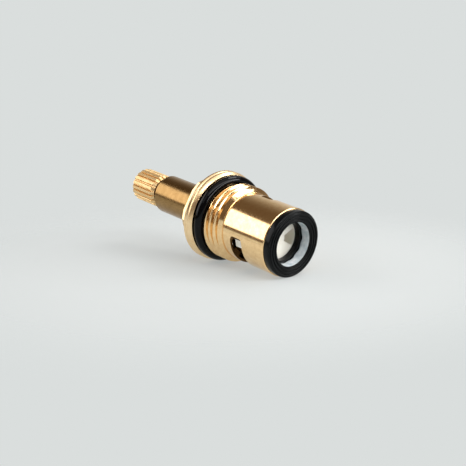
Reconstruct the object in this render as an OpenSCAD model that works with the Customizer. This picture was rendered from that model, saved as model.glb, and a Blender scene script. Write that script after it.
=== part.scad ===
// Quarter-turn ceramic disc tap cartridge with a G 1/2 body thread.
// The cartridge axis is X: the inlet seal faces +X and the handle spline points to -X.
// The origin is on the axis, in the plane of the flange face that seats on the tap body.
// Directions about the axis are counted in degrees from -Z towards +Y.

/* [Body] */
// Width across the flats of the spanner hexagon
hex_af = 19; // [17:0.5:21]
// Length of the spanner hexagon
hex_len = 3.2; // [2:0.1:8]
// Direction of the first corner of the hexagon
hex_turn = 33; // [0:1:60]
// Diameter of the flange
flange_d = 24.8; // [24.2:0.1:30]
// Thickness of the flange
flange_t = 3.1; // [2.4:0.1:6]
// Thickness of the flange lip in front of the rim groove
rim_lip = 1.4; // [0.6:0.1:1.5]
// Width and depth of the groove round the flange rim
rim_groove = 0.3; // [0.1:0.05:0.5]
// Edge chamfer of the turned pieces
edge = 0.3; // [0.1:0.05:0.4]
// Chamfer on the flange towards the tap body
front_chamfer = 0.45; // [0.1:0.05:0.5]
// Chamfer on the flange towards the hexagon
back_chamfer = 0.4; // [0.1:0.05:0.8]

/* [Thread] */
// Outside diameter of the body thread
thread_d = 20.955; // [20:0.005:23]
// Pitch of the body thread
thread_pitch = 1.814; // [1.2:0.001:2]
// Angle between the flanks of the thread
thread_angle = 55; // [50:1:60]
// Length of the threaded stretch
thread_len = 5.8; // [4:0.1:12]
// Direction in which the thread's ridge starts
thread_dir = 306; // [0:1:359]
// Length of the cone that starts the thread
thread_lead = 0.2; // [0.1:0.05:0.6]
// Plain undercut between the body O-ring and the first thread crest
undercut = 0.72; // [0.7:0.02:4]

/* [Barrel] */
// Outside diameter of the barrel
barrel_d = 18.3; // [17.5:0.1:19]
// Wall of the barrel
barrel_wall = 0.6; // [0.55:0.05:1.4]
// Barrel left between the thread and the thrust shoulder
shoulder_gap = 0.6; // [0.3:0.1:3]
// Angle that each outlet window opens in the barrel's outside
window_angle = 86; // [70:1:92]
// Direction of the first outlet window
window_dir = -45; // [-180:1:180]
// Reach of the windows past the back of the moving disc
window_lead = 0.85; // [0.5:0.05:1.3]
// Barrel left between the windows and the joint of the discs
window_land = 0.65; // [0.3:0.05:1.5]

/* [Spindle] */
// Diameter of the spindle neck
neck_d = 10.8; // [9.6:0.1:11.6]
// Length of the neck behind the hexagon
neck_len = 18.9; // [10:0.1:40]
// Diameter over the spline teeth
spline_d = 9.5; // [8:0.1:10]
// Length of the spline
spline_len = 10.9; // [6:0.1:16]
// Number of spline teeth
spline_teeth = 20; // [16:1:24]
// Depth of the spline teeth
tooth_depth = 0.75; // [0.4:0.05:1]
// Length over which the teeth run out towards the neck
tooth_runout = 1.6; // [0.8:0.1:3]
// Length of the relief between the spline and the neck
relief_len = 0.7; // [0.4:0.1:1.5]
// Depth of the relief below the roots of the teeth
relief_depth = 0.2; // [0.1:0.05:0.4]
// Drill diameter of the tapped hole for the handle screw
screw_hole_d = 3.3; // [2.5:0.1:4.2]
// Depth of the tapped hole
screw_hole_len = 12; // [6:0.5:18]
// Thickness of the thrust collar
collar_t = 2.8; // [2.2:0.1:4]
// Width of the drive tang
tang_w = 3; // [2:0.1:3.4]
// Length of the drive tang
tang_len = 1.6; // [1:0.1:2.4]

/* [Stops] */
// Turn of the spindle from open to closed
quarter_turn = 90; // [60:1:100]
// How far the spindle is drawn turned from fully open
rest_turn = 50; // [0:1:90]
// Angle taken by each stop block in the barrel
stop_angle = 20; // [12:1:30]
// Share of the space between the neck and the barrel's bore that the thrust collar takes
collar_share = 0.6; // [0.45:0.05:0.7]

/* [Discs] */
// Thickness of the moving ceramic disc
moving_disc_t = 4.15; // [3.5:0.05:5]
// Thickness of the fixed ceramic disc
fixed_disc_t = 4.15; // [3.5:0.05:5]
// Angle of each port
port_angle = 56; // [36:1:60]
// Direction of the fixed disc's ports
port_dir = -90; // [-180:1:180]
// Radius of the hub between the ports
hub_r = 1.6; // [1.4:0.1:3.2]
// Disc left between the ports and the lip of the inlet seal
port_margin = 0.3; // [0.1:0.05:0.8]
// Width of the keys that stop the fixed disc turning
key_w = 3; // [2:0.1:4]
// Depth of the keyways in the barrel wall
key_depth = 0.25; // [0.2:0.05:0.3]

/* [Seals] */
// Section of the O-ring under the flange
body_ring_section = 2.7; // [2:0.02:3]
// Inside diameter of the O-ring under the flange
body_ring_inner_d = 18.4; // [17:0.02:18.6]
// Section of the spindle O-rings
stem_ring_section = 1.68; // [1.2:0.02:1.8]
// Width that each spindle groove adds to its O-ring
stem_ring_room = 0.5; // [0.2:0.1:1]
// Thickness of the thrust washer
washer_t = 0.5; // [0.3:0.1:1]
// Length of the inlet seal inside the barrel
seal_spigot = 3.2; // [2.6:0.1:5]
// Length of the inlet seal in front of the barrel
seal_head = 2.2; // [1.8:0.1:4]
// Step from the barrel's outside to the head of the inlet seal
seal_inset = 0.25; // [0.2:0.05:0.7]
// Radial width of the seal's face, from its rim to the inlet hole
seal_face_w = 2.97; // [2.7:0.01:3.4]
// Step from the inlet hole in to the lip that presses on the fixed disc
lip_step = 0.63; // [0.3:0.01:0.9]
// Height of the ridges on the face of the inlet seal
ridge_h = 0.35; // [0.2:0.05:0.6]
// Width of the ridges and of the grooves between them
ridge_w = 0.4; // [0.2:0.05:0.4]
// Number of ridges
ridge_count = 3; // [1:1:3]
// Wall of the support ring inside the inlet seal
support_wall = 0.75; // [0.5:0.05:1]
// Length of the support ring
support_len = 2.8; // [2:0.1:3.2]
// Depth of the scallops in the back edge of the support ring
scallop_depth = 0.3; // [0.1:0.05:0.4]
// Radius of the scallops
scallop_r = 2.4; // [1:0.1:3]
// Number of scallops
scallops = 12; // [4:1:12]

/* [Circlip] */
// Thickness of the circlip
circlip_t = 1; // [0.6:0.1:1.4]
// Radial width of the circlip
circlip_w = 1.6; // [1.2:0.1:1.8]
// Depth of the circlip groove in the neck
circlip_groove = 0.3; // [0.2:0.05:0.4]
// Opening between the ends of the circlip
circlip_gap = 5; // [3:0.5:7]

/* [Fits] */
// Radial clearance of turning pieces
run_fit = 0.05; // [0.02:0.01:0.1]
// Clearance of pieces seated in one another
seat_fit = 0.02; // [0.01:0.01:0.05]
// Radial clearance of the moving disc in the barrel
disc_fit = 0.25; // [0.15:0.05:0.4]
// Side clearance of the drive tang in its slot
tang_fit = 0.1; // [0.05:0.05:0.2]
// Angle of clearance left at each stop
stop_fit = 0.5; // [0.2:0.1:1]

/* [Hidden] */
$fn = 96;
// How far cuts and roots reach past the faces they meet
over = 0.2;

// Radii
flange_r = flange_d / 2;
thread_r = thread_d / 2;
barrel_r = barrel_d / 2;
bore_r = barrel_r - barrel_wall;
neck_r = neck_d / 2;
spline_r = spline_d / 2;
tooth_root_r = spline_r - tooth_depth;
stop_r = neck_r + (bore_r - neck_r) * collar_share;
collar_r = stop_r - 4 * run_fit;
lug_r = bore_r - 6 * run_fit;
ring_root_r = body_ring_inner_d / 2 - seat_fit;
stem_bore_r = neck_r + run_fit;
seal_r = barrel_r - seal_inset;
inlet_r = seal_r - seal_face_w;
lip_r = inlet_r - lip_step;
port_r = lip_r - port_margin;
support_r = inlet_r + support_wall;

// Thread form: crests and roots are flats of a sixth of the pitch
crest_half = thread_pitch / 12;
flank_len = thread_pitch / 3;
thread_depth = flank_len / tan(thread_angle / 2);
thread_root_r = thread_r - thread_depth;
// Steps of the helix in one turn
helix_steps = 48;

// Stations along the axis, from the hexagon to the inlet
x_flange = -flange_t;
x_hex = x_flange - hex_len;
x_thread = body_ring_section + undercut;
x_thread_end = x_thread + thread_len;
x_shoulder = x_thread_end + shoulder_gap;
x_collar = x_shoulder + washer_t;
x_moving = x_collar + collar_t;
x_joint = x_moving + moving_disc_t;
x_fixed = x_joint + fixed_disc_t;
x_barrel = x_fixed + seal_spigot;
x_seal = x_barrel + seal_head;
x_window = x_moving - window_lead;
x_window_end = x_joint - window_land;

// Stations along the axis, from the hexagon to the handle end
x_neck = x_hex - neck_len;
x_spline = x_neck - relief_len;
x_end = x_spline - spline_len;
x_circlip = x_hex - 2 * run_fit - circlip_t;

// The thrust collar carries the stop lugs on its back half
lug_t = collar_t / 2 - 2 * run_fit;
lug_angle = 180 - stop_angle - quarter_turn - 2 * stop_fit;
turn_dir = port_dir + rest_turn;
lug_dir = turn_dir + 90;
stop_dir = lug_dir - rest_turn - (lug_angle + stop_angle) / 2 - stop_fit;

// The spindle O-rings share the length of the body's bore
stem_bore_len = x_shoulder - x_hex;
stem_groove_w = stem_ring_section + stem_ring_room;
stem_groove_r = stem_bore_r - stem_ring_section - seat_fit;
stem_ring_shares = [0.35, 0.65];
x_stem_rings = [for (share = stem_ring_shares) x_hex + stem_bore_len * share];

// Spline: angles from the middle of a tooth to its tip corner and to its root corner
tooth_pitch = 360 / spline_teeth;
tip_share = 0.17;
root_share = 0.36;
tip_half = tooth_pitch * tip_share;
root_half = tooth_pitch * root_share;

BRASS = "#d0a354";
DULL_BRASS = "#a98a58";
RUBBER = "#1b1b1d";
CERAMIC = "#efe9da";
STEEL = "#9a9ca0";
POLYMER = "#b9c8cf";

// Lays a shape that was drawn along Z on the cartridge axis, starting at x
module on_axis(x = 0) {
    translate([x, 0, 0])
        rotate([0, 90, 0])
            children();
}

// A turned solid from points of [radius, x]
module turned(points) {
    on_axis()
        rotate_extrude()
            polygon(points);
}

module rod(x0, x1, r) {
    on_axis(x0)
        cylinder(h = x1 - x0, r = r);
}

module tube(x0, x1, r_in, r_out) {
    difference() {
        rod(x0, x1, r_out);
        rod(x0 - over, x1 + over, r_in);
    }
}

// A ring of round section, as an O-ring lies in its groove
module o_ring(x, r_in, section) {
    on_axis(x)
        rotate_extrude()
            translate([r_in + section / 2, 0])
                circle(d = section, $fn = 48);
}

// Two copies on opposite sides of the axis
module opposite(dir) {
    for (side = [0, 180])
        rotate(dir + side)
            children();
}

// A flat sector of a ring, centred on the first direction
module ring_sector(r_in, r_out, angle) {
    reach = (r_out + over) / cos(angle / 2);
    corner = [reach * cos(angle / 2), reach * sin(angle / 2)];
    difference() {
        intersection() {
            circle(r_out);
            polygon([[0, 0], [corner.x, -corner.y], corner]);
        }
        circle(r_in);
    }
}

// Profile points of a square groove in a turned outside
function groove(r, depth, x0, x1) = [[r, x0], [r - depth, x0], [r - depth, x1], [r, x1]];

// One section of the thread's ridge, as points of [radius, x] about the middle of its crest
ridge_foot = crest_half + flank_len + over * tan(thread_angle / 2);
ridge_section = [
    [thread_root_r - over, -ridge_foot],
    [thread_r, -crest_half],
    [thread_r, crest_half],
    [thread_root_r - over, ridge_foot]
];

// The ridge swept along a right-handed helix, from a pitch before the thread to a pitch after it
module thread_ridge() {
    corners = len(ridge_section);
    steps = ceil(helix_steps * (thread_len / thread_pitch + 2));
    function place(step, p) = let (turn = thread_dir + step * 360 / helix_steps) [
        x_thread - thread_pitch + step * thread_pitch / helix_steps + p[1],
        p[0] * sin(turn),
        -p[0] * cos(turn)
    ];
    function quad(step, k) = let (
        a = step * corners + k,
        b = step * corners + (k + 1) % corners
    ) [[a, b, b + corners], [a, b + corners, a + corners]];
    polyhedron(
        points = [for (i = [0 : steps], p = ridge_section) place(i, p)],
        faces = concat(
            [for (i = [0 : steps - 1], k = [0 : corners - 1]) each quad(i, k)],
            [[for (k = [corners - 1 : -1 : 0]) k]],
            [[for (k = [0 : corners - 1]) steps * corners + k]]
        )
    );
}

// The thread, turned down to a cone at both ends
module body_thread() {
    intersection() {
        thread_ridge();
        turned([
            [thread_root_r - 2 * over, x_thread - thread_lead],
            [thread_root_r - over / 2, x_thread - thread_lead],
            [thread_r + over, x_thread],
            [thread_r + over, x_thread_end - thread_depth],
            [thread_root_r - over / 2, x_thread_end],
            [thread_root_r - 2 * over, x_thread_end]
        ]);
    }
}

module body_outside() {
    groove_back = -rim_lip - rim_groove;
    turned(concat(
        [[0, x_flange], [flange_r - back_chamfer, x_flange], [flange_r, x_flange + back_chamfer]],
        groove(flange_r, rim_groove, groove_back, -rim_lip),
        [[flange_r, -front_chamfer], [flange_r - front_chamfer, 0], [ring_root_r, 0]],
        [[ring_root_r, x_thread - thread_lead], [thread_root_r, x_thread - thread_lead]],
        [[thread_root_r, x_thread_end], [barrel_r, x_thread_end]],
        [[barrel_r, x_barrel - edge / 2], [barrel_r - edge / 2, x_barrel], [0, x_barrel]]
    ));
}

// The hexagon, with its corners turned off to a cone at the back
module spanner_hex() {
    corner_r = hex_af / 2 / cos(30);
    face_r = hex_af / 2 + edge;
    intersection() {
        on_axis(x_hex)
            rotate(hex_turn)
                cylinder(h = hex_len + over, r = corner_r, $fn = 6);
        turned([
            [0, x_hex],
            [face_r, x_hex],
            [corner_r + over, x_hex + corner_r + over - face_r],
            [corner_r + over, x_flange + over],
            [0, x_flange + over]
        ]);
    }
}

// Each window is milled across the barrel, down to a flat
module window_cuts() {
    flat = barrel_r * cos(window_angle / 2);
    on_axis(x_window)
        opposite(window_dir)
            translate([flat, -barrel_d, 0])
                cube([barrel_r, 2 * barrel_d, x_window_end - x_window]);
}

module keyway_cuts() {
    width = key_w + 4 * seat_fit;
    on_axis(x_joint)
        opposite(port_dir + 90)
            translate([0, -width / 2, 0])
                cube([bore_r + key_depth, width, x_barrel - x_joint + over]);
}

// Two blocks on the thrust shoulder that the spindle's lugs turn between
module stop_blocks() {
    on_axis(x_shoulder - over)
        opposite(stop_dir)
            linear_extrude(over + washer_t + lug_t)
                ring_sector(stop_r, bore_r + over, stop_angle);
}

module housing() {
    color(BRASS)
        union() {
            difference() {
                union() {
                    body_outside();
                    body_thread();
                    spanner_hex();
                }
                rod(x_hex - over, x_shoulder + over, stem_bore_r);
                rod(x_shoulder, x_barrel + over, bore_r);
                window_cuts();
                keyway_cuts();
            }
            stop_blocks();
        }
}

module body_o_ring() {
    color(RUBBER)
        o_ring(body_ring_section / 2, body_ring_inner_d / 2, body_ring_section);
}

// The splined end: straight teeth, chamfered at the end and run out towards the neck
module spline() {
    function at(r, angle) = [r * cos(angle), r * sin(angle)];
    intersection() {
        on_axis(x_end)
            linear_extrude(spline_len)
                polygon([
                    for (i = [0 : spline_teeth - 1], p = [-root_half, -tip_half, tip_half, root_half])
                        at(abs(p) == tip_half ? spline_r : tooth_root_r, i * tooth_pitch + p)
                ]);
        turned([
            [0, x_end],
            [tooth_root_r, x_end],
            [spline_r, x_end + tooth_depth],
            [spline_r, x_spline - tooth_runout],
            [tooth_root_r, x_spline],
            [0, x_spline]
        ]);
    }
}

module stem_groove_cuts() {
    for (x = x_stem_rings)
        tube(x - stem_groove_w / 2, x + stem_groove_w / 2, stem_groove_r, neck_r + over);
}

module spindle() {
    relief_r = tooth_root_r - relief_depth;
    color(DULL_BRASS)
        difference() {
            union() {
                spline();
                turned(concat(
                    [[0, x_spline - over], [relief_r, x_spline - over], [relief_r, x_neck]],
                    [[neck_r - 2 * edge, x_neck], [neck_r, x_neck + 2 * edge]],
                    groove(neck_r, circlip_groove, x_circlip - run_fit, x_circlip + circlip_t + run_fit),
                    [[neck_r, x_collar], [collar_r, x_collar], [collar_r, x_moving], [0, x_moving]]
                ));
                on_axis(x_collar)
                    opposite(lug_dir)
                        linear_extrude(lug_t)
                            ring_sector(neck_r, lug_r, lug_angle);
                drive_tang();
            }
            rod(x_end - over, x_end + screw_hole_len, screw_hole_d / 2);
            stem_groove_cuts();
        }
}

// The flat bar at the spindle's foot that turns the moving disc
module drive_tang() {
    intersection() {
        rod(x_moving - over, x_moving + tang_len, collar_r - edge);
        on_axis(x_moving - over)
            rotate(turn_dir + 90)
                translate([-collar_r, -tang_w / 2, 0])
                    cube([2 * collar_r, tang_w, tang_len + over]);
    }
}

module spindle_o_ring(x) {
    color(RUBBER)
        o_ring(x, stem_groove_r + seat_fit / 2, stem_ring_section);
}

module upper_spindle_o_ring() {
    spindle_o_ring(x_stem_rings[0]);
}

module lower_spindle_o_ring() {
    spindle_o_ring(x_stem_rings[1]);
}

// An open ring with an eyed ear at each end
module circlip() {
    r_in = neck_r - circlip_groove + seat_fit;
    r_mid = r_in + circlip_w / 2;
    ear_r = circlip_w * 3 / 4;
    eye_r = circlip_w / 3;
    ear_swing = asin(circlip_gap / 2 / r_mid) + asin(circlip_w / 2 / r_mid);
    module at_ears() {
        for (side = [-1, 1])
            rotate(side * ear_swing)
                translate([r_in + ear_r, 0])
                    children();
    }
    color(STEEL)
        on_axis(x_circlip)
            linear_extrude(circlip_t)
                difference() {
                    union() {
                        difference() {
                            circle(r_in + circlip_w);
                            translate([0, -circlip_gap / 2])
                                square([r_in + 2 * circlip_w, circlip_gap]);
                        }
                        at_ears()
                            circle(ear_r);
                    }
                    circle(r_in);
                    at_ears()
                        circle(eye_r);
                }
}

module thrust_washer() {
    color(POLYMER)
        tube(x_shoulder, x_collar, stem_bore_r, stop_r - 2 * run_fit);
}

// A bow tie: two ports open at the rim, and a slot across the back for the tang
module moving_disc() {
    r = bore_r - disc_fit;
    slot_w = tang_w + 2 * tang_fit;
    slot_len = 2 * (collar_r - edge + tang_fit);
    color(CERAMIC)
        difference() {
            turned([
                [0, x_moving], [r - edge, x_moving], [r, x_moving + edge],
                [r, x_joint - edge], [r - edge, x_joint], [0, x_joint]
            ]);
            on_axis(x_moving - over)
                opposite(turn_dir)
                    linear_extrude(moving_disc_t + 2 * over)
                        ring_sector(hub_r, bore_r, port_angle);
            on_axis(x_moving - over)
                rotate(turn_dir + 90)
                    translate([-slot_len / 2, -slot_w / 2, 0])
                        cube([slot_len, slot_w, tang_len + tang_fit + over]);
        }
}

// A plain disc with two closed ports, held by two keys
module fixed_disc() {
    color(CERAMIC)
        difference() {
            union() {
                rod(x_joint, x_fixed, bore_r - seat_fit);
                intersection() {
                    rod(x_joint, x_fixed, bore_r + key_depth - seat_fit);
                    on_axis(x_joint)
                        opposite(port_dir + 90)
                            translate([0, -key_w / 2, 0])
                                cube([barrel_r, key_w, fixed_disc_t]);
                }
            }
            on_axis(x_joint - over)
                opposite(port_dir)
                    linear_extrude(fixed_disc_t + 2 * over)
                        ring_sector(hub_r, port_r, port_angle);
        }
}

// The rubber seal: a spigot in the barrel, a head in front of it and ridges round the hole
module inlet_seal() {
    face = x_seal - ridge_h;
    x_support = face - ridge_h;
    first = inlet_r + ridge_w;
    ridges = [
        for (i = [ridge_count - 1 : -1 : 0])
            each [
                [first + (2 * i + 1) * ridge_w, face],
                [first + (2 * i + 1) * ridge_w, x_seal],
                [first + 2 * i * ridge_w, x_seal],
                [first + 2 * i * ridge_w, face]
            ]
    ];
    color(RUBBER)
        turned(concat(
            [[lip_r, x_fixed], [bore_r - seat_fit, x_fixed], [bore_r - seat_fit, x_barrel]],
            [[seal_r, x_barrel], [seal_r, face - edge / 2], [seal_r - edge / 2, face]],
            ridges,
            [[inlet_r, face], [inlet_r, x_support], [support_r, x_support]],
            [[support_r, x_support - support_len], [lip_r, x_support - support_len]]
        ));
}

// A stiff ring that keeps the inlet seal round, with a scalloped back edge
module seal_support_ring() {
    x_front = x_seal - 2 * ridge_h - seat_fit;
    x_back = x_front - support_len + 2 * seat_fit;
    color(POLYMER)
        difference() {
            tube(x_back, x_front, inlet_r, support_r - seat_fit);
            for (i = [0 : scallops - 1])
                translate([x_back + scallop_depth - scallop_r, 0, 0])
                    rotate([i * 360 / scallops, 0, 0])
                        cylinder(h = support_r + over, r = scallop_r, $fn = 48);
        }
}

housing();
body_o_ring();
spindle();
upper_spindle_o_ring();
lower_spindle_o_ring();
circlip();
thrust_washer();
moving_disc();
fixed_disc();
inlet_seal();
seal_support_ring();
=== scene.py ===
"""Looks of a quarter-turn ceramic disc tap cartridge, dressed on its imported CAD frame.

The dataclasses hold millimetres and degrees, unless a comment says otherwise, and the meshes are in metres. The
cartridge lies along X with its inlet at +X. A direction round the axis is counted from -Z towards +Y, as a
positive turn about +X goes.
"""

import logging
import math
from dataclasses import dataclass
from enum import Enum
from typing import Sequence

import bmesh
import bpy
from bpy.types import Material, Node, NodeSocket, NodeTree, Object
from mathutils import Matrix, Quaternion, Vector


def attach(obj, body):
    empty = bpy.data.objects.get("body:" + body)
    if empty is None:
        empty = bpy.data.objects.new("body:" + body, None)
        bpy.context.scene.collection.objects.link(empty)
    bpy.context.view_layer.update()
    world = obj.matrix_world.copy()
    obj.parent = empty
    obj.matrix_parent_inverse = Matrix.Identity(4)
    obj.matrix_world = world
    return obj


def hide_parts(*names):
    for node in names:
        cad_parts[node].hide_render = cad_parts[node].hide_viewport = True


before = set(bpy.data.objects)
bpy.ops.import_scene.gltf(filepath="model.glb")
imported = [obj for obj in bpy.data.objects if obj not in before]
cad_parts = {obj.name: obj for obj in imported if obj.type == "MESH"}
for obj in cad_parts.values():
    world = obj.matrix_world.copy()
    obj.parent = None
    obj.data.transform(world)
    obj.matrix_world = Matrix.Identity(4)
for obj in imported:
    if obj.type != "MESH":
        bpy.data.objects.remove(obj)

Pair = tuple[float, float]
Triple = tuple[float, float, float]

LOG = logging.getLogger("tap_cartridge")
MM = 0.001
# Points of a mesh that are nearer than this, in metres, become one
SAME_PLACE = 1e-7
# Two faces that meet at more than this angle are shaded with an edge between them
EDGE_ANGLE = 32.0
# The angle of one step in a piece of a ring
STEP_ANGLE = 2.0
# How far a solid that is added reaches into the one that carries it
SINK = 0.2
# How far a solid that is cut away reaches past the one that it cuts
SPARE = 1.0
# What comes in pairs stands on both sides of the axis
BOTH_SIDES = (0, 180)
# Lays a shape that was drawn flat, with Z as its height, on the cartridge axis
ON_AXIS = Matrix(((0, 0, 1, 0), (0, 1, 0, 0), (-1, 0, 0, 0), (0, 0, 0, 1)))


class Body(Enum):
    """The moving bodies of the cartridge."""

    FIXED = "body"
    TURNING = "rotor"


class Cut(Enum):
    """How a second solid changes the first."""

    ADD = "UNION"
    REMOVE = "DIFFERENCE"
    KEEP = "INTERSECT"


def linear(code: str) -> tuple[float, float, float, float]:
    """Turns an sRGB colour into Blender's linear one.

    Args:
        code: The colour as six hex digits after a hash sign.

    Returns:
        Red, green, blue and an alpha of 1.
    """
    shares = [int(code[i:i + 2], 16) / 255 for i in (1, 3, 5)]
    red, green, blue = (s / 12.92 if s <= 0.04045 else ((s + 0.055) / 1.055) ** 2.4 for s in shares)
    return red, green, blue, 1.0


def add_node(
    tree: NodeTree,
    kind: str,
    settings: dict[str, object] | None = None,
    inputs: dict[str | int, object] | None = None,
) -> Node:
    """Adds a node with its settings, constants and links.

    Args:
        tree: The node tree that gets the node.
        kind: The node's type name.
        settings: The node's own settings by name.
        inputs: A constant, or another node's output, for each input by name or number.

    Returns:
        The new node.
    """
    node = tree.nodes.new(kind)
    for name, value in (settings or {}).items():
        setattr(node, name, value)
    for name, value in (inputs or {}).items():
        if isinstance(value, NodeSocket):
            tree.links.new(value, node.inputs[name])
        else:
            node.inputs[name].default_value = value
    return node


class Solid:
    """A closed mesh while it is being made, in metres."""

    def __init__(self, shape: bmesh.types.BMesh) -> None:
        """Takes over a bmesh."""
        self.shape = shape

    @classmethod
    def turned(cls, profile: Sequence[Pair], steps: int = 192, ring: bool = False) -> "Solid":
        """Turns a profile round the axis, as on a lathe.

        Args:
            profile: Points of (x, radius), in order along the outside.
            steps: Steps in the full turn.
            ring: Whether the profile closes on itself instead of on the axis.

        Returns:
            The turned solid.
        """
        shape = bmesh.new()
        corners = [shape.verts.new((x * MM, 0, -r * MM)) for x, r in profile]
        follows = corners[1:] + corners[:1] if ring else corners[1:]
        edges = [shape.edges.new(pair) for pair in zip(corners, follows)]
        bmesh.ops.spin(
            shape, geom=corners + edges, cent=(0, 0, 0), axis=(1, 0, 0), angle=math.tau, steps=steps,
            use_merge=True,
        )
        return cls(shape).cleaned()

    @classmethod
    def sector(cls, radii: Pair, span: Pair, middle: float, angle: float) -> "Solid":
        """Makes a block that is a piece of a ring.

        Args:
            radii: The inner and the outer radius.
            span: The first and the last x.
            middle: The direction of its middle.
            angle: The angle that it covers.

        Returns:
            The block.
        """
        shape = bmesh.new()
        start = math.radians(middle - angle / 2)
        ends = [
            shape.verts.new((span[0] * MM, r * MM * math.sin(start), -r * MM * math.cos(start))) for r in radii
        ]
        edge = shape.edges.new(ends)
        bmesh.ops.spin(
            shape, geom=ends + [edge], cent=(0, 0, 0), axis=(1, 0, 0), angle=math.radians(angle),
            steps=round(angle / STEP_ANGLE),
        )
        return cls(shape).raised(span[1] - span[0])

    @classmethod
    def bar(cls, near: float, far: float, width: float, span: Pair, direction: float) -> "Solid":
        """Makes a straight bar that stands out from the axis.

        Args:
            near: Its near end's distance from the axis.
            far: Its far end's distance.
            width: Its width across.
            span: The first and the last x.
            direction: The direction it points in.

        Returns:
            The bar.
        """
        shape = bmesh.new()
        sizes = Vector((far - near, width, span[1] - span[0])) * MM
        middle = Vector(((near + far) / 2, 0, (span[0] + span[1]) / 2)) * MM
        turn = Matrix.Rotation(math.radians(direction), 4, "Z")
        place = ON_AXIS @ turn @ Matrix.Translation(middle) @ Matrix.Diagonal((*sizes, 1))
        bmesh.ops.create_cube(shape, size=1, matrix=place)
        return cls(shape).cleaned()

    @classmethod
    def helix(
        cls, section: Sequence[Pair], pitch: float, start: Pair, turns: float, rounding: float, steps: int = 96
    ) -> "Solid":
        """Sweeps a thread's ridge along a right-handed helix.

        Args:
            section: Points of (x, radius) round the ridge, about the middle of its crest.
            pitch: The advance in one turn.
            start: The x and the direction where it begins.
            turns: The number of turns.
            rounding: How far the two crest edges are rounded.
            steps: Steps in one turn.

        Returns:
            The ridge, closed at both ends.
        """
        shape = bmesh.new()
        turn = math.radians(start[1])
        corners = [
            shape.verts.new(((start[0] + x) * MM, r * MM * math.sin(turn), -r * MM * math.cos(turn)))
            for x, r in section
        ]
        first = shape.faces.new(corners)
        count = round(turns * steps)
        bmesh.ops.spin(
            shape, geom=[first], cent=(0, 0, 0), axis=(1, 0, 0), dvec=(pitch * MM / steps, 0, 0),
            angle=math.tau * count / steps, steps=count, use_duplicate=False,
        )
        return cls(shape).cleaned().softened(rounding, least=20, segments=3)

    def raised(self, height: float) -> "Solid":
        """Gives a flat sheet a thickness along the axis.

        Args:
            height: The thickness.

        Returns:
            This solid.
        """
        grown = bmesh.ops.extrude_face_region(self.shape, geom=list(self.shape.faces), use_keep_orig=True)
        moved = [v for v in grown["geom"] if isinstance(v, bmesh.types.BMVert)]
        bmesh.ops.translate(self.shape, verts=moved, vec=(height * MM, 0, 0))
        return self.cleaned()

    def cleaned(self) -> "Solid":
        """Merges doubles and turns all faces outwards.

        Returns:
            This solid.
        """
        bmesh.ops.remove_doubles(self.shape, verts=list(self.shape.verts), dist=SAME_PLACE)
        bmesh.ops.recalc_face_normals(self.shape, faces=list(self.shape.faces))
        return self

    def softened(self, width: float, least: float = 35, segments: int = 2) -> "Solid":
        """Rounds every edge that is sharper than an angle.

        Args:
            width: The rounding's width.
            least: The least angle between two faces that counts as sharp.
            segments: Steps across the rounding.

        Returns:
            This solid.
        """
        sharp = [
            e for e in self.shape.edges
            if len(e.link_faces) == 2 and e.calc_face_angle() > math.radians(least)
        ]
        bmesh.ops.bevel(
            self.shape, geom=sharp, offset=width * MM, segments=segments, profile=0.5, affect="EDGES",
            material=-1, clamp_overlap=True,
        )
        return self.cleaned()

    def combined(self, other: "Solid", cut: Cut) -> "Solid":
        """Adds, removes or keeps another solid's space, which uses that one up.

        Args:
            other: The other solid.
            cut: What happens to its space.

        Returns:
            This solid.
        """
        first, second = self.as_object("first"), other.as_object("second")
        modifier = first.modifiers.new("combine", "BOOLEAN")
        modifier.operation, modifier.solver, modifier.object = cut.value, "MANIFOLD", second
        result = first.evaluated_get(bpy.context.evaluated_depsgraph_get())
        self.shape.clear()
        self.shape.from_mesh(result.to_mesh())
        result.to_mesh_clear()
        other.shape.free()
        for temporary in (first, second):
            mesh = temporary.data
            bpy.data.objects.remove(temporary)
            bpy.data.meshes.remove(mesh)
        return self.cleaned()

    def as_object(self, name: str) -> Object:
        """Copies the solid into a new object of the scene.

        Args:
            name: The object's name.

        Returns:
            The object.
        """
        mesh = bpy.data.meshes.new(name)
        self.shape.to_mesh(mesh)
        made = bpy.data.objects.new(name, mesh)
        bpy.context.scene.collection.objects.link(made)
        return made

    def placed(self, name: str, finish: "Finish", body: Body, node: str) -> Object:
        """Finishes the solid as a piece that stands for a CAD node.

        Args:
            name: The piece's name.
            finish: Its finish.
            body: The body it rides on.
            node: The CAD node it replaces.

        Returns:
            The finished piece.
        """
        piece = self.as_object(name)
        self.shape.free()
        piece.data.polygons.foreach_set("use_smooth", [True] * len(piece.data.polygons))
        piece.data.set_sharp_from_angle(angle=math.radians(EDGE_ANGLE))
        finish.add_to(piece)
        shading = piece.modifiers.new("even_shading", "WEIGHTED_NORMAL")
        shading.keep_sharp = True
        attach(piece, body.value)
        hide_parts(node)
        LOG.info("%s stands for %s, with %d faces", name, node, len(piece.data.polygons))
        return piece


@dataclass(frozen=True)
class Finish:
    """What every finish has: the name of a material slot, which is not used, and the material's own name."""

    slot: str
    name: str

    def material(self) -> Material:
        """Makes the material once, and gives it again later.

        Returns:
            The material.
        """
        made = bpy.data.materials.get(self.name)
        if made is None:
            made = bpy.data.materials.new(self.name)
            made.use_nodes = True
            tree = made.node_tree
            place = add_node(tree, "ShaderNodeTexCoord").outputs["Object"]
            self.dress(tree, tree.nodes["Principled BSDF"], place)
        return made

    def add_to(self, piece: Object) -> int:
        """Adds the material to a piece, and returns the number it has there."""
        piece.data.materials.append(self.material())
        return len(piece.data.materials) - 1

    def dress(self, tree: NodeTree, shader: Node, place: NodeSocket) -> None:
        """Sets the shader up; each finish has its own way.

        Args:
            tree: The material's nodes.
            shader: Its Principled BSDF.
            place: The point on the object, in metres.
        """
        raise NotImplementedError


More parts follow.
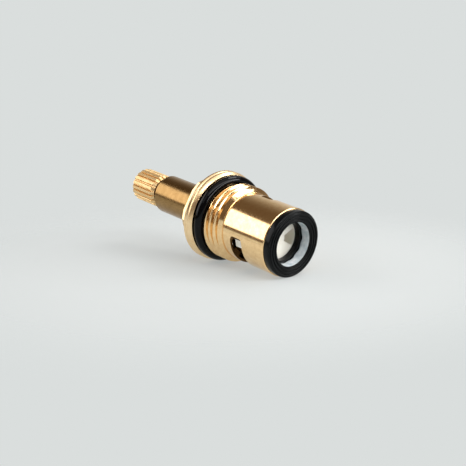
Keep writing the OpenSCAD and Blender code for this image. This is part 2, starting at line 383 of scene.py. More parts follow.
@dataclass(frozen=True)
class TurnedMetal(Finish):
    """Brass off the lathe: fine rings from the tool's feed, and slow changes of tone where it was handled."""

    pale: str
    deep: str
    roughness: Pair
    # The feed is about 0.08 mm, drawn coarser so that it shows
    feed: float = 0.2
    mark_depth: float = 0.0012
    # The width of a patch of one tone
    smudge: float = 2.2

    def dress(self, tree: NodeTree, shader: Node, place: NodeSocket) -> None:
        """Draws rings along the axis on round surfaces, and rings by radius on faces.

        Args:
            tree: The material's nodes.
            shader: Its Principled BSDF.
            place: The point on the object, in metres.
        """
        parts = add_node(tree, "ShaderNodeSeparateXYZ", None, {0: place})
        across = add_node(tree, "ShaderNodeCombineXYZ", None, {1: parts.outputs[1], 2: parts.outputs[2]})
        radius = add_node(tree, "ShaderNodeVectorMath", {"operation": "LENGTH"}, {0: across.outputs[0]})
        rings = {"Scale": 1 / (self.feed * MM), "Detail": 2.0, "Roughness": 0.6}
        along = add_node(
            tree, "ShaderNodeTexNoise", {"noise_dimensions": "1D"}, {"W": parts.outputs[0], **rings}
        )
        outward = add_node(
            tree, "ShaderNodeTexNoise", {"noise_dimensions": "1D"}, {"W": radius.outputs["Value"], **rings}
        )
        height = add_node(
            tree, "ShaderNodeMath", {"operation": "ADD"}, {0: along.outputs[0], 1: outward.outputs[0]}
        )
        handled = add_node(
            tree, "ShaderNodeTexNoise", None,
            {"Vector": place, "Scale": 1 / (self.smudge * MM), "Detail": 5.0, "Roughness": 0.68},
        )
        tone = add_node(
            tree, "ShaderNodeMapRange", None,
            {"Value": handled.outputs[0], "From Min": 0.3, "From Max": 0.7},
        )
        colour = add_node(
            tree, "ShaderNodeMix", {"data_type": "RGBA"},
            {0: tone.outputs[0], 6: linear(self.deep), 7: linear(self.pale)},
        )
        gloss = add_node(
            tree, "ShaderNodeMapRange", None,
            {"Value": tone.outputs[0], "To Min": self.roughness[1], "To Max": self.roughness[0]},
        )
        bump = add_node(
            tree, "ShaderNodeBump", None, {"Distance": self.mark_depth * MM, "Height": height.outputs[0]}
        )
        tree.links.new(colour.outputs[2], shader.inputs["Base Color"])
        tree.links.new(gloss.outputs[0], shader.inputs["Roughness"])
        tree.links.new(bump.outputs[0], shader.inputs["Normal"])
        shader.inputs["Metallic"].default_value = 1.0


@dataclass(frozen=True)
class Moulded(Finish):
    """A moulded or pressed piece: a fine grain in the surface, and a tone that changes a little."""

    pale: str
    deep: str
    roughness: Pair
    grain: float
    grain_depth: float
    metallic: float = 0.0
    ior: float = 1.5
    # The share of the light that goes into the surface and comes out again, and how deep it goes
    glow: float = 0.0
    glow_depth: float = 0.8
    # The level of the gloss, where 0.5 is what the IOR gives
    shine: float = 0.5
    # The width of a patch of one tone, in grains
    patch: float = 9.0

    def dress(self, tree: NodeTree, shader: Node, place: NodeSocket) -> None:
        """Draws the grain with one noise, and the tone with a slower one.

        Args:
            tree: The material's nodes.
            shader: Its Principled BSDF.
            place: The point on the object, in metres.
        """
        fine = add_node(
            tree, "ShaderNodeTexNoise", None,
            {"Vector": place, "Scale": 1 / (self.grain * MM), "Detail": 3.0, "Roughness": 0.6},
        )
        slow = add_node(
            tree, "ShaderNodeTexNoise", None,
            {"Vector": place, "Scale": 1 / (self.patch * self.grain * MM), "Detail": 2.0},
        )
        colour = add_node(
            tree, "ShaderNodeMix", {"data_type": "RGBA"},
            {0: slow.outputs[0], 6: linear(self.deep), 7: linear(self.pale)},
        )
        gloss = add_node(
            tree, "ShaderNodeMapRange", None,
            {"Value": fine.outputs[0], "To Min": self.roughness[0], "To Max": self.roughness[1]},
        )
        bump = add_node(
            tree, "ShaderNodeBump", None, {"Distance": self.grain_depth * MM, "Height": fine.outputs[0]}
        )
        tree.links.new(colour.outputs[2], shader.inputs["Base Color"])
        tree.links.new(gloss.outputs[0], shader.inputs["Roughness"])
        tree.links.new(bump.outputs[0], shader.inputs["Normal"])
        shader.inputs["Metallic"].default_value = self.metallic
        if self.metallic == 0:
            shader.inputs["IOR"].default_value = self.ior
            shader.inputs["Specular IOR Level"].default_value = self.shine
        if self.glow > 0:
            shader.inputs["Subsurface Weight"].default_value = self.glow
            shader.inputs["Subsurface Radius"].default_value = (1.0, 1.0, 1.0)
            shader.inputs["Subsurface Scale"].default_value = self.glow_depth * MM


# Free-cutting brass, polished after turning: a warm mirror with soft streaks round the axis
POLISHED_BRASS = TurnedMetal(
    "polished_brass", "polished_turned_brass", "#FFDEAA", "#F0C78F", (0.09, 0.17), smudge=1.3
)
# The same brass on the rim, rolled with fine lines: pale, and satin enough to even out what it mirrors
RIM_BRASS = TurnedMetal(
    "polished_brass", "fine_rolled_brass", "#FFE3B6", "#F6D29E", (0.27, 0.36), feed=0.3, mark_depth=0.003
)
# The same brass inside the barrel, left as machined and not polished, so rougher; its dark brown is painted
# shade for the dim bore and the walls of the windows
BORE_SHADE_BRASS = TurnedMetal(
    "polished_brass", "bored_brass_painted_shade", "#7E5E38", "#664829", (0.34, 0.46), feed=0.3, mark_depth=0.003
)
# The same brass left as it came off the tool: browner and satin, so that it shows light and dark softly
TURNED_BRASS = TurnedMetal(
    "turned_brass", "satin_turned_brass", "#A68455", "#947345", (0.18, 0.28),
    feed=0.3, mark_depth=0.003, smudge=1.6,
)
# The same brass on the rolled teeth: paler, and nearly matt
ROLLED_BRASS = TurnedMetal(
    "turned_brass", "rolled_brass", "#F3D6A4", "#E9C78F", (0.46, 0.56),
    feed=0.3, mark_depth=0.003, smudge=1.6,
)
# Moulded nitrile rubber: near black, with a weak sheen
RUBBER = Moulded(
    "black_rubber", "moulded_nitrile_rubber", "#0C0F10", "#070909", (0.15, 0.24),
    grain=0.25, grain_depth=0.0008, ior=1.52, shine=0.12,
)
# The same rubber under a film of silicone grease: smooth, with thin highlights
GREASED_RUBBER = Moulded(
    "black_rubber", "greased_nitrile_rubber", "#09090B", "#050507", (0.05, 0.09),
    grain=0.25, grain_depth=0.0004, ior=1.52, shine=0.14,
)
# Sintered alumina, lapped flat: ivory, dense and half glossy
ALUMINA = Moulded(
    "ceramic", "lapped_alumina", "#FBF7EC", "#F4EEDF", (0.2, 0.3),
    grain=0.2, grain_depth=0.0006, ior=1.77, glow=0.08,
)
# Moulded polypropylene: cloudy, pale blue-grey, and light passes a little way into it
POLYPROPYLENE = Moulded(
    "pale_polymer", "moulded_polypropylene", "#FFFFFF", "#8BA4AF", (0.28, 0.4),
    grain=0.13, grain_depth=0.0015, ior=1.49, glow=0.3,
)
# Moulded acetal: white and waxy
ACETAL = Moulded(
    "white_polymer", "moulded_acetal", "#F0EFEA", "#E6E5DE", (0.35, 0.48),
    grain=0.4, grain_depth=0.002, ior=1.48, glow=0.1,
)
# Stamped spring steel with a thin oil film: grey and satin
SPRING_STEEL = Moulded(
    "spring_steel", "stamped_spring_steel", "#A3A5A8", "#7F8185", (0.28, 0.42),
    grain=0.3, grain_depth=0.003, metallic=1.0,
)


@dataclass
class Housing:
    """The brass body: hexagon, flange, O-ring undercut, thread and barrel with its windows."""

    stem_bore: float = 5.45
    flange_r: float = 12.4
    flange_x: float = -3.1
    hex_x: float = -6.3
    hex_across: float = 19.0
    # The direction of one of its corners
    hex_corner: float = 33.0
    hex_round: float = 0.12
    # How far the hexagon goes into the flange, and the cone that trims it past its corners
    hex_spare: float = 0.5
    back_chamfer: float = 0.4
    front_edge: float = 0.6
    # The rim's two beads, from back to front, and how far their surface leans towards the inlet
    beads: tuple[Pair, ...] = ((-2.7, -1.7), (-1.4, -0.3))
    bead_lean: Pair = (-8.0, 46.0)
    bead_steps: int = 5
    # How far down from the edge the rim's finish reaches
    rim_depth: float = 1.0
    undercut_r: float = 9.18
    thread_r: float = 10.4775
    thread_root: float = 9.3155
    thread_pitch: float = 1.814
    thread_flank: float = 27.5
    thread_round: float = 0.14
    thread_x: Pair = (3.42, 9.22)
    # The direction in which the ridge begins, and the length of the cone that it begins on
    thread_start: float = 306.0
    thread_lead: float = 0.2
    shoulder_x: float = 9.82
    barrel_r: float = 9.15
    barrel_end: float = 24.62
    bore: float = 8.55
    # The bore's painted shade, and its rougher brass, start this far below the barrel's surface
    shade_skin: float = 0.1
    window_x: Pair = (12.27, 16.62)
    # The distance from the axis to the flat that cuts a window
    window_flat: float = 6.692
    window_dir: float = -45.0
    window_round: float = 0.9
    # Where the keyways start, how far they reach from the axis, and their width
    keyway: Triple = (17.27, 8.8, 3.08)
    key_dir: float = 0.0
    stop_r: float = 7.29
    stop_end: float = 11.62
    stop_angle: float = 20.0
    stop_dir: float = -45.0
    edge: float = 0.3
    rounding: float = 0.06

    def outside(self) -> Solid:
        """Turns the round outside, solid to the axis.

        Returns:
            The flange, undercut, thread core and barrel.
        """
        r, e = self.flange_r, self.edge
        start, end = self.thread_x
        lead = start - self.thread_lead
        first, last = (math.radians(lean) for lean in self.bead_lean)
        rim = []
        for back, front in self.beads:
            bend = (front - back) / (math.sin(last) - math.sin(first))
            for step in range(self.bead_steps + 1):
                lean = first + (last - first) * step / self.bead_steps
                along = bend * (math.sin(lean) - math.sin(first))
                rim.append((back + along, r - bend * (1 - math.cos(lean))))
        return Solid.turned([
            (self.flange_x, 0), (self.flange_x, r - self.back_chamfer), *rim, (0, r - self.front_edge),
            (0, self.undercut_r), (lead, self.undercut_r), (lead, self.thread_root),
            (end, self.thread_root), (end, self.barrel_r), (self.barrel_end - e / 2, self.barrel_r),
            (self.barrel_end, self.barrel_r - e / 2), (self.barrel_end, 0),
        ], steps=256).softened(self.rounding, least=25)

    def hexagon(self) -> Solid:
        """Makes the spanner hexagon, with its corners turned off at the back.

        Returns:
            The hexagon, which reaches into the flange.
        """
        half = self.hex_across / 2
        corner = half / math.cos(math.radians(30))
        span = (self.hex_x, self.flange_x + self.hex_spare)
        flats = [
            Solid.bar(-corner, half, 2 * corner, span, self.hex_corner + side) for side in range(30, 360, 60)
        ]
        prism = flats.pop()
        for flat in flats:
            prism.combined(flat, Cut.KEEP)
        prism.softened(self.hex_round, least=40)
        face, reach = half + self.edge, corner + self.hex_spare
        cone = Solid.turned([
            (self.hex_x, 0), (self.hex_x, face), (self.hex_x + reach - face, reach), (span[1], reach),
            (span[1], 0),
        ], steps=128)
        return prism.combined(cone, Cut.KEEP)

    def thread(self) -> Solid:
        """Sweeps the pipe thread's ridge and turns its ends down to cones.

        Returns:
            The ridge, which reaches into its core.
        """
        # Half a crest and one flank, along the axis; the rest of the pitch is the root
        crest, flank = self.thread_pitch / 12, self.thread_pitch / 3
        foot = crest + flank + SINK * math.tan(math.radians(self.thread_flank))
        start, end = self.thread_x
        low = self.thread_root - SINK
        # One turn more at each end, for the cones to cut off
        turns = (end - start) / self.thread_pitch + 2
        ridge = Solid.helix(
            [(-foot, low), (-crest, self.thread_r), (crest, self.thread_r), (foot, low)],
            self.thread_pitch, (start - self.thread_pitch, self.thread_start), turns, self.thread_round,
        )
        depth = self.thread_r - self.thread_root
        lead = start - self.thread_lead
        envelope = Solid.turned([
            (lead, low - SINK), (lead, self.thread_root - SINK / 2), (start, self.thread_r + SINK),
            (end - depth, self.thread_r + SINK), (end, self.thread_root - SINK / 2), (end, low - SINK),
        ], steps=256, ring=True)
        return ridge.combined(envelope, Cut.KEEP)

    def bores(self) -> Solid:
        """Turns the space of the two bores, with a small countersink at the back.

        Returns:
            The space to cut away.
        """
        e = self.edge / 2
        back, front = self.hex_x - SPARE, self.barrel_end + SPARE
        return Solid.turned([
            (back, 0), (back, self.stem_bore + SPARE + e), (self.hex_x + e, self.stem_bore),
            (self.shoulder_x, self.stem_bore), (self.shoulder_x, self.bore), (front, self.bore), (front, 0),
        ], steps=256)

    def build(self) -> Object:
        """Makes the whole housing.

        Returns:
            The finished piece.
        """
        body = self.outside()
        for added in (self.hexagon(), self.thread()):
            body.combined(added, Cut.ADD)
        body.combined(self.bores(), Cut.REMOVE)
        key_x, key_r, key_w = self.keyway
        for side in BOTH_SIDES:
            window = Solid.bar(
                self.window_flat, 2 * self.barrel_r, 4 * self.barrel_r, self.window_x, self.window_dir + side
            ).softened(self.window_round, segments=6)
            body.combined(window, Cut.REMOVE)
            keyway = Solid.bar(0, key_r, key_w, (key_x, self.barrel_end + SPARE), self.key_dir + side)
            body.combined(keyway, Cut.REMOVE)
            stop = Solid.sector(
                (self.stop_r, self.bore + SINK), (self.shoulder_x - SINK, self.stop_end),
                self.stop_dir + side, self.stop_angle,
            )
            body.combined(stop, Cut.ADD)
        piece = body.placed("brass_housing", POLISHED_BRASS, Body.FIXED, "housing")
        self.shade_bore_and_satin_rim(piece)
        return piece

    def shade_bore_and_satin_rim(self, piece: Object) -> None:
        """Paints shade inside the barrel with a dark, rough brass, and gives the rim its satin brass.

        Args:
            piece: The housing.
        """
        # The bore's brass carries painted shade; the rim's brass differs only in its gloss
        bore_shade, rim = BORE_SHADE_BRASS.add_to(piece), RIM_BRASS.add_to(piece)
        for face in piece.data.polygons:
            x, r = face.center.x / MM, face.center.yz.length / MM
            # Faces below the barrel's surface, between the shoulder and the mouth, get the painted shade
            if r < self.barrel_r - self.shade_skin and self.shoulder_x < x < self.barrel_end - self.edge:
                face.material_index = bore_shade
            elif r > self.flange_r - self.rim_depth:
                face.material_index = rim


@dataclass
class ORing:
    """A rubber ring of round section."""

    name: str
    node: str
    body: Body
    x: float
    centre_r: float
    section_r: float
    section_steps: int = 40
    steps: int = 160

    def build(self) -> Object:
        """Spins the section round the axis.

        Returns:
            The finished piece.
        """
        shape = bmesh.new()
        middle = Matrix.Translation((self.x * MM, 0, -self.centre_r * MM))
        lay = middle @ Matrix.Rotation(math.pi / 2, 4, "X")
        circle = bmesh.ops.create_circle(
            shape, segments=self.section_steps, radius=self.section_r * MM, matrix=lay
        )
        bmesh.ops.spin(
            shape, geom=circle["verts"] + list(shape.edges), cent=(0, 0, 0), axis=(1, 0, 0), angle=math.tau,
            steps=self.steps, use_merge=True,
        )
        return Solid(shape).cleaned().placed(self.name, GREASED_RUBBER, self.body, self.node)


@dataclass
class Spindle:
    """The brass spindle: spline for the handle, neck, thrust collar and drive tang."""

    end_x: float = -36.8
    spline_x: float = -26.8
    neck_x: float = -25.2
    neck_r: float = 5.4
    spline_r: float = 4.75
    root_r: float = 4.0
    relief_r: float = 3.3
    runout: float = 0.9
    teeth: int = 20
    tooth_steps: int = 12
    # Half a tooth at its foot, and the width of its flank, as shares of the step from tooth to tooth
    tooth_foot: float = 0.42
    tooth_flank: float = 0.12
    clip_x: Pair = (-7.45, -6.35)
    clip_root: float = 5.1
    # The middles of the two O-ring grooves, their width and the radius of their floor
    ring_x: Pair = (-0.658, 4.178)
    ring_w: float = 2.18
    ring_root: float = 3.75
    collar_x: float = 10.32
    foot_x: float = 13.12
    collar_r: float = 7.09
    lug_r: float = 8.25
    lug_t: float = 1.3
    lug_angle: float = 69.0
    lug_sink: float = 0.5
    tang_w: float = 3.0
    tang_len: float = 1.6
    tang_dir: float = 50.0
    screw_r: float = 1.65
    screw_len: float = 12.0
    screw_pitch: float = 0.7
    # The screw thread's groove: the radius of its floor, half its width at the mouth and at the floor
    groove_r: float = 2.0
    groove_half: Pair = (0.294, 0.06)
    groove_spare: float = 0.15
    groove_turns: int = 15
    groove_steps: int = 48
    groove_round: float = 0.03
    edge: float = 0.3
    rounding: float = 0.06

    def spline(self) -> Solid:
        """Bridges four rings: plain ones at both ends, and toothed ones where the ends' tapers stop.

        Returns:
            The toothed end.
        """
        shape = bmesh.new()
        depth = self.spline_r - self.root_r
        stations = (
            (self.end_x, False), (self.end_x + depth, True),
            (self.spline_x - self.runout, True), (self.spline_x, False),
        )
        rings = []
        for x, toothed in stations:
            place = ON_AXIS @ Matrix.Translation((0, 0, x * MM))
            ring = bmesh.ops.create_circle(
                shape, cap_ends=not toothed, segments=self.teeth * self.tooth_steps, radius=self.root_r * MM,
                matrix=place,
            )["verts"]
            if toothed:
                for vert in ring:
                    turn = math.atan2(vert.co.y, -vert.co.z) / math.tau * self.teeth
                    off = abs(turn - round(turn))
                    rise = min(1.0, max(0.0, (self.tooth_foot - off) / self.tooth_flank))
                    grow = 1 + depth / self.root_r * rise
                    bmesh.ops.scale(shape, verts=[vert], vec=(1, grow, grow))
            rings.append({edge for vert in ring for edge in vert.link_edges})
        for near, far in zip(rings, rings[1:]):
            bmesh.ops.bridge_loops(shape, edges=list(near | far))
        return Solid(shape).cleaned()

    def shaft(self) -> Solid:
        """Turns the round part, from the relief to the thrust collar.

        Returns:
            The shaft.
        """
        e, start = 2 * self.edge, self.spline_x - SINK
        points = [
            (start, 0), (start, self.relief_r), (self.neck_x, self.relief_r),
            (self.neck_x, self.neck_r - e), (self.neck_x + e, self.neck_r),
            (self.clip_x[0], self.neck_r), (self.clip_x[0], self.clip_root),
            (self.clip_x[1], self.clip_root), (self.clip_x[1], self.neck_r),
        ]
        for x in self.ring_x:
            near, far = x - self.ring_w / 2, x + self.ring_w / 2
            points += [(near, self.neck_r), (near, self.ring_root), (far, self.ring_root), (far, self.neck_r)]
        points += [
            (self.collar_x, self.neck_r), (self.collar_x, self.collar_r), (self.foot_x, self.collar_r),
            (self.foot_x, 0),
        ]
        return Solid.turned(points, steps=160).softened(self.rounding, least=25)

    def screw_hole(self) -> tuple[Solid, Solid]:
        """Makes the space of the tapped hole in the spline's end.

        Returns:
            The drilled hole with its countersink, and the groove of its thread.
        """
        floor = self.end_x + self.screw_len
        drilled = Solid.turned([
            (self.end_x - SPARE, 0), (self.end_x - SPARE, self.groove_r + SPARE), (self.end_x, self.groove_r),
            (self.end_x + self.groove_r - self.screw_r, self.screw_r), (floor, self.screw_r), (floor, 0),
        ], steps=64)
        mouth, bottom = self.groove_half
        low = self.screw_r - self.groove_spare
        groove = Solid.helix(
            [(-mouth, low), (-bottom, self.groove_r), (bottom, self.groove_r), (mouth, low)],
            self.screw_pitch, (self.end_x - self.screw_pitch, 0), self.groove_turns, self.groove_round,
            self.groove_steps,
        )
        return drilled, groove

    def build(self) -> Object:
        """Makes the whole spindle.

        Returns:
            The finished piece.
        """
        body = self.shaft().combined(self.spline(), Cut.ADD)
        reach = self.collar_r - self.edge
        span = (self.foot_x - SINK, self.foot_x + self.tang_len)
        body.combined(Solid.bar(-reach, reach, self.tang_w, span, self.tang_dir), Cut.ADD)
        for side in BOTH_SIDES:
            lug = Solid.sector(
                (self.neck_r - self.lug_sink, self.lug_r), (self.collar_x, self.collar_x + self.lug_t),
                self.tang_dir + side, self.lug_angle,
            )
            body.combined(lug, Cut.ADD)
        for space in self.screw_hole():
            body.combined(space, Cut.REMOVE)
        piece = body.placed("brass_spindle", TURNED_BRASS, Body.TURNING, "spindle")
        rolled = ROLLED_BRASS.add_to(piece)
        for face in piece.data.polygons:
            if face.center.x < self.spline_x * MM:
                face.material_index = rolled
        return piece


@dataclass
class CeramicDiscs:
    """The two lapped discs that open and close the water's way."""

    moving_x: float = 13.12
    joint_x: float = 17.27
    fixed_x: float = 21.42
    moving_r: float = 8.3
    fixed_r: float = 8.53
    key_r: float = 8.78
    key_w: float = 3.0
    hub_r: float = 1.6
    port_r: float = 5.0
    port_angle: float = 56.0
    # The direction of the fixed ports, and how far the moving ones are turned from it at rest
    port_dir: float = -90.0
    turn: float = 50.0
    # The slot and the keys lie across the ports
    across: float = 90.0
    slot_w: float = 3.2
    slot_len: float = 13.78
    slot_depth: float = 1.7
    edge: float = 0.3

    def moving(self) -> Object:
        """Makes the disc that turns: a bow tie with a slot across its back.

        Returns:
            The finished piece.
        """
        r, e = self.moving_r, self.edge
        disc = Solid.turned([
            (self.moving_x, 0), (self.moving_x, r - e), (self.moving_x + e, r),
            (self.joint_x - e, r), (self.joint_x, r - e), (self.joint_x, 0),
        ], steps=160)
        direction = self.port_dir + self.turn
        span = (self.moving_x - SPARE, self.joint_x + SPARE)
        for side in BOTH_SIDES:
            port = Solid.sector((self.hub_r, r + SPARE), span, direction + side, self.port_angle)
            disc.combined(port, Cut.REMOVE)
        span = (self.moving_x - SPARE, self.moving_x + self.slot_depth)
        half = self.slot_len / 2
        disc.combined(Solid.bar(-half, half, self.slot_w, span, direction + self.across), Cut.REMOVE)
        return disc.placed("moving_ceramic_disc", ALUMINA, Body.TURNING, "moving_disc")

    def fixed(self) -> Object:
        """Makes the disc that stays: closed ports, and a key on each side.

        Returns:
            The finished piece.
        """
        disc = Solid.turned([
            (self.joint_x, 0), (self.joint_x, self.fixed_r), (self.fixed_x, self.fixed_r), (self.fixed_x, 0)
        ], steps=160)
        keys = Solid.bar(
            -self.key_r, self.key_r, self.key_w, (self.joint_x, self.fixed_x), self.port_dir + self.across
        )
        disc.combined(keys, Cut.ADD)
        span = (self.joint_x - SPARE, self.fixed_x + SPARE)
        for side in BOTH_SIDES:
            port = Solid.sector((self.hub_r, self.port_r), span, self.port_dir + side, self.port_angle)
            disc.combined(port, Cut.REMOVE)
        return disc.placed("fixed_ceramic_disc", ALUMINA, Body.FIXED, "fixed_disc")


@dataclass
class InletSeal:
    """The rubber seal in the barrel's mouth, and the stiff ring that keeps it round."""

    disc_x: float = 21.42
    barrel_x: float = 24.62
    face_x: float = 26.47
    ridge_x: float = 26.82
    spigot_r: float = 8.53
    head_r: float = 8.9
    inlet_r: float = 5.93
    lip_r: float = 5.3
    support_r: float = 6.68
    support_x: Pair = (23.34, 26.1)
    # The play of the support ring in its seat
    play: float = 0.02
    ridge_w: float = 0.4
    ridges: int = 3
    scallops: int = 12
    scallop_r: float = 2.4
    scallop_depth: float = 0.3
    scallop_len: float = 3.0
    edge: float = 0.3
    rounding: float = 0.1

    def seal(self) -> Object:
        """Turns the seal with its round-topped ridges.

        Returns:
            The finished piece.
        """
        e = self.edge / 2
        points = [
            (self.disc_x, self.lip_r), (self.disc_x, self.spigot_r), (self.barrel_x, self.spigot_r),
            (self.barrel_x, self.head_r), (self.face_x - e, self.head_r), (self.face_x, self.head_r - e),
        ]
        for number in reversed(range(self.ridges)):
            inner = self.inlet_r + self.ridge_w * (2 * number + 1)
            outer = inner + self.ridge_w
            points += [
                (self.face_x, outer), (self.ridge_x, outer), (self.ridge_x, inner), (self.face_x, inner)
            ]
        near, far = self.support_x
        points += [
            (self.face_x, self.inlet_r), (far, self.inlet_r), (far, self.support_r), (near, self.support_r),
            (near, self.lip_r),
        ]
        ring = Solid.turned(points, ring=True).softened(self.rounding, least=25, segments=3)
        return ring.placed("rubber_inlet_seal", RUBBER, Body.FIXED, "inlet_seal")

    def support(self) -> Object:
        """Turns the support ring and scallops its back edge.

        Returns:
            The finished piece.
        """
        near, far = self.support_x[0] + self.play, self.support_x[1] - self.play
        outer = self.support_r - self.play
        ring = Solid.turned(
            [(near, self.inlet_r), (near, outer), (far, outer), (far, self.inlet_r)], ring=True
        ).softened(self.rounding)
        sunk = near + self.scallop_depth - self.scallop_r
        for number in range(self.scallops):
            notch = bmesh.new()
            turn = Matrix.Rotation(math.tau * number / self.scallops, 4, "X")
            place = turn @ Matrix.Translation((sunk * MM, 0, outer * MM))
            bmesh.ops.create_cone(
                notch, cap_ends=True, segments=32, radius1=self.scallop_r * MM, radius2=self.scallop_r * MM,
                depth=self.scallop_len * MM, matrix=place,
            )
            ring.combined(Solid(notch), Cut.REMOVE)
        return ring.placed("seal_ring_of_polypropylene", POLYPROPYLENE, Body.FIXED, "seal_support_ring")


@dataclass
class PlainPart:
    """A piece whose CAD shape is right as it is, and that only needs its finish."""

    node: str
    finish: Finish

    def build(self) -> Object:
        """Dresses the CAD node.

        Returns:
            The node's own object.
        """
        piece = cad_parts[self.node]
        piece.data.materials.clear()
        self.finish.add_to(piece)
        LOG.info("%s keeps its CAD shape in %s", self.node, self.finish.name)
        return piece


@dataclass(frozen=True)
class Softbox:
    """A soft rectangular lamp, with its place and size in metres."""

    name: str
    place: Triple
    # The direction of the lamp's back, away from the cartridge
    behind: Triple
    size: Pair
    # How bright its face is, where 1 is white
    radiance: float
    # Its turn about its own axis
    roll: float = 0.0

    def build(self) -> None:
        """Hangs the lamp in its place, out of the camera's sight."""
        data = bpy.data.lights.new(self.name, "AREA")
        data.shape, data.size, data.size_y = "RECTANGLE", *self.size
        data.energy = self.radiance * math.pi * self.size[0] * self.size[1]
        lamp = bpy.data.objects.new(self.name, data)
        lamp.location = self.place
        lamp.rotation_mode = "QUATERNION"
        aim = Vector(self.behind).to_track_quat("Z", "Y")
        lamp.rotation_quaternion = aim @ Quaternion((0, 0, 1), math.radians(self.roll))
        lamp.visible_camera = False
        bpy.context.scene.collection.objects.link(lamp)


@dataclass
class Studio:
    """The pale table, the soft light and the camera."""

    # The camera's place round the cartridge, before the turn that sets it upright on the table
    azimuth: float = 48.497
    elevation: float = 21.849
    turn: float = 6.123
    shift: Pair = (2.08, -4.42)
    distance: float = 272.604
    lens: float = 77.253
    sensor: float = 36.0
    nearest: float = 10.0
    # The cartridge rests on its flange's edge and its barrel's end
    rest: tuple[Pair, Pair] = ((-0.45, -12.4), (24.47, -9.15))
    table_r: float = 110.0
    # Where the table starts to fade into the backdrop, and where it is gone, from the world's origin
    table_fade: Pair = (45.0, 100.0)
    table: str = "#D2D5D4"
    # The share of the backdrop's colour that the table keeps in the shade
    table_share: float = 0.5
    backdrop: str = "#DADEDD"
    # What gloss shows: a ceiling, and a paler glow on the wall behind, which fades with the angle from it
    ceiling: str = "#675746"
    glow: str = "#DCDAD4"
    glow_way: Triple = (-0.6, 0.8, 0.0)
    glow_reach: Pair = (0.3, 1.0)
    glow_fall: float = 3.0
    # Where the backdrop ends and the ceiling starts, as heights on a ball of radius 1
    horizon: Pair = (-0.06, -0.03)
    ambient: float = 0.1

    def camera(self) -> None:
        """Sets the camera where the photograph was taken from."""
        a, e = math.radians(self.azimuth), math.radians(self.elevation)
        back = Vector((math.sin(a) * math.cos(e), -math.cos(a) * math.cos(e), math.sin(e)))
        right = Vector((math.cos(a), math.sin(a), 0))
        up = back.cross(right)
        upright = Matrix.Rotation(math.radians(self.turn), 3, "X")
        place = back * self.distance + right * self.shift[0] + up * self.shift[1]
        axes = Matrix((upright @ right, upright @ up, upright @ back)).transposed()
        data = bpy.data.cameras.new("photo_camera")
        data.lens, data.sensor_width = self.lens, self.sensor
        data.clip_start = self.nearest * MM
        camera = bpy.data.objects.new("photo_camera", data)
        camera.matrix_world = Matrix.Translation(upright @ place * MM) @ axes.to_4x4()
        bpy.context.scene.collection.objects.link(camera)
        bpy.context.scene.camera = camera

    def normal(self) -> Vector:
        """Returns the table's upward direction."""
        (x0, z0), (x1, z1) = self.rest
        return Vector((z0 - z1, 0, x1 - x0)).normalized()

    def floor(self) -> None:
        """Lays the table under the cartridge."""
        shape = bmesh.new()
        x, z = self.rest[0]
        lean = self.normal().to_track_quat("Z", "Y").to_matrix().to_4x4()
        lay = Matrix.Translation(Vector((x, 0, z)) * MM) @ lean
        bmesh.ops.create_circle(shape, cap_ends=True, segments=96, radius=self.table_r * MM, matrix=lay)
        mesh = bpy.data.meshes.new("table")
        shape.to_mesh(mesh)
        shape.free()
        table = bpy.data.objects.new("table", mesh)
        bpy.context.scene.collection.objects.link(table)
        mesh.materials.append(self.paint())

    def paint(self) -> Material:
        """Makes the table's matt paint, which fades into the backdrop and isn't there from below.

        Returns:
            The material.
        """
        paint = bpy.data.materials.new("matt_painted_table")
        paint.use_nodes = True
        tree = paint.node_tree
        shader = tree.nodes["Principled BSDF"]
        shader.inputs["Base Color"].default_value = linear(self.table)
        shader.inputs["Roughness"].default_value = 0.6
        shader.inputs["Specular IOR Level"].default_value = 0.2
        place = add_node(tree, "ShaderNodeTexCoord").outputs["Object"]
        reach = add_node(tree, "ShaderNodeVectorMath", {"operation": "LENGTH"}, {0: place})
        start, end = self.table_fade
        fade = add_node(
            tree, "ShaderNodeMapRange", {"interpolation_type": "SMOOTHSTEP"},
            {"Value": reach.outputs["Value"], "From Min": start * MM, "From Max": end * MM},
        )
        under = add_node(tree, "ShaderNodeNewGeometry").outputs["Backfacing"]
        gone = add_node(tree, "ShaderNodeMath", {"operation": "MAXIMUM"}, {0: fade.outputs[0], 1: under})
        path = add_node(tree, "ShaderNodeLightPath")
        gloss = add_node(
            tree, "ShaderNodeMath", {"operation": "MAXIMUM"},
            {0: path.outputs["Is Glossy Ray"], 1: path.outputs["Is Transmission Ray"]},
        )
        seen = add_node(
            tree, "ShaderNodeMath", {"operation": "MAXIMUM"},
            {0: path.outputs["Is Camera Ray"], 1: gloss.outputs[0]},
        )
        share = add_node(
            tree, "ShaderNodeMath", {"operation": "MULTIPLY"}, {0: seen.outputs[0], 1: self.table_share}
        )
        plain = add_node(tree, "ShaderNodeEmission", None, {"Color": linear(self.backdrop)})
        lit = add_node(
            tree, "ShaderNodeMixShader", None, {0: share.outputs[0], 1: shader.outputs[0], 2: plain.outputs[0]}
        )
        clear = add_node(tree, "ShaderNodeBsdfTransparent")
        both = add_node(
            tree, "ShaderNodeMixShader", None, {0: gone.outputs[0], 1: lit.outputs[0], 2: clear.outputs[0]}
        )
        tree.links.new(both.outputs[0], tree.nodes["Material Output"].inputs[0])
        return paint

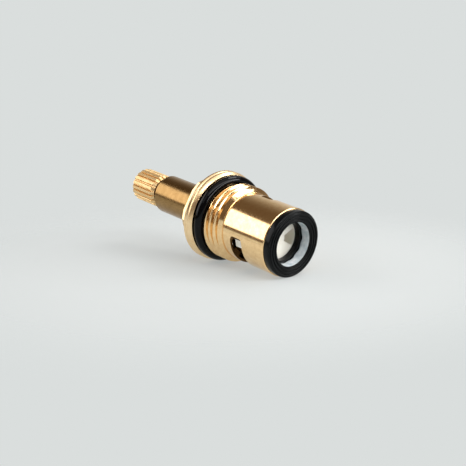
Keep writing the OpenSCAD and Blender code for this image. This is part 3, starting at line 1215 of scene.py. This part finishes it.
    def world(self) -> None:
        """Sets a pale backdrop for what is seen, a dark ceiling for what gloss shows, and an even light."""
        world = bpy.data.worlds.new("studio")
        bpy.context.scene.world = world
        world.use_nodes = True
        tree = world.node_tree
        tree.nodes.clear()
        path = add_node(tree, "ShaderNodeLightPath")
        way = add_node(tree, "ShaderNodeTexCoord").outputs["Generated"]
        height = add_node(
            tree, "ShaderNodeVectorMath", {"operation": "DOT_PRODUCT"}, {0: way, 1: self.normal()}
        )
        low, high = self.horizon
        above = add_node(
            tree, "ShaderNodeMapRange", None,
            {"Value": height.outputs["Value"], "From Min": low, "From Max": high},
        )
        behind = add_node(
            tree, "ShaderNodeVectorMath", {"operation": "DOT_PRODUCT"}, {0: way, 1: self.glow_way}
        )
        first, full = self.glow_reach
        near = add_node(
            tree, "ShaderNodeMapRange", None,
            {"Value": behind.outputs["Value"], "From Min": first, "From Max": full},
        )
        sweep = add_node(
            tree, "ShaderNodeMath", {"operation": "POWER"}, {0: near.outputs[0], 1: self.glow_fall}
        )
        level = add_node(
            tree, "ShaderNodeMix", {"data_type": "RGBA"},
            {0: sweep.outputs[0], 6: linear(self.ceiling), 7: linear(self.glow)},
        )
        shown = add_node(
            tree, "ShaderNodeMix", {"data_type": "RGBA"},
            {0: above.outputs[0], 6: linear(self.backdrop), 7: level.outputs[2]},
        )
        gloss = add_node(
            tree, "ShaderNodeMath", {"operation": "MAXIMUM"},
            {0: path.outputs["Is Glossy Ray"], 1: path.outputs["Is Transmission Ray"]},
        )
        even = (self.ambient, self.ambient, self.ambient, 1)
        lit = add_node(
            tree, "ShaderNodeMix", {"data_type": "RGBA"},
            {0: gloss.outputs[0], 6: even, 7: shown.outputs[2]},
        )
        seen = add_node(
            tree, "ShaderNodeMix", {"data_type": "RGBA"},
            {0: path.outputs["Is Camera Ray"], 6: lit.outputs[2], 7: linear(self.backdrop)},
        )
        light = add_node(tree, "ShaderNodeBackground", None, {"Color": seen.outputs[2]})
        add_node(tree, "ShaderNodeOutputWorld", None, {0: light.outputs[0]})

    def softboxes(self) -> None:
        """Stands the softboxes round the table."""
        for softbox in (
            Softbox("left_softbox", (-0.405, -0.295, 0.197), (-0.81, -0.59, 0), (0.5, 0.39), 2.4),
            Softbox("top_softbox", (0.02, 0, 0.5), (0.04, 0, 1), (1.5, 0.44), 0.9),
            Softbox(
                "upper_softbox", (0.3075, 0.0785, 0.386), (0.615, 0.157, 0.772), (0.92, 0.18), 4.4, roll=-34.0
            ),
            Softbox("back_softbox", (0.01, 0.3, 0.4), (0.02, 0.6, 0.8), (0.28, 0.16), 4.4),
            Softbox("front_softbox", (0.4415, 0.1605, 0.171), (0.883, 0.321, 0.342), (0.55, 0.1), 9.0),
        ):
            softbox.build()

    def build(self) -> None:
        """Sets the whole studio up."""
        bpy.context.scene.view_settings.view_transform = "Standard"
        self.camera()
        self.floor()
        self.world()
        self.softboxes()
        LOG.info("studio is set")


def main() -> None:
    logging.basicConfig(level=logging.INFO, format="%(message)s")
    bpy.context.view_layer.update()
    Studio().build()
    Housing().build()
    ORing("rubber_body_o_ring", "body_o_ring", Body.FIXED, x=1.35, centre_r=10.55, section_r=1.35).build()
    Spindle().build()
    discs = CeramicDiscs()
    discs.moving()
    discs.fixed()
    inlet = InletSeal()
    inlet.seal()
    inlet.support()
    for part in (
        PlainPart("circlip", SPRING_STEEL), PlainPart("thrust_washer", ACETAL),
        PlainPart("upper_spindle_o_ring", GREASED_RUBBER), PlainPart("lower_spindle_o_ring", GREASED_RUBBER),
    ):
        part.build()


if __name__ == "__main__":
    main()
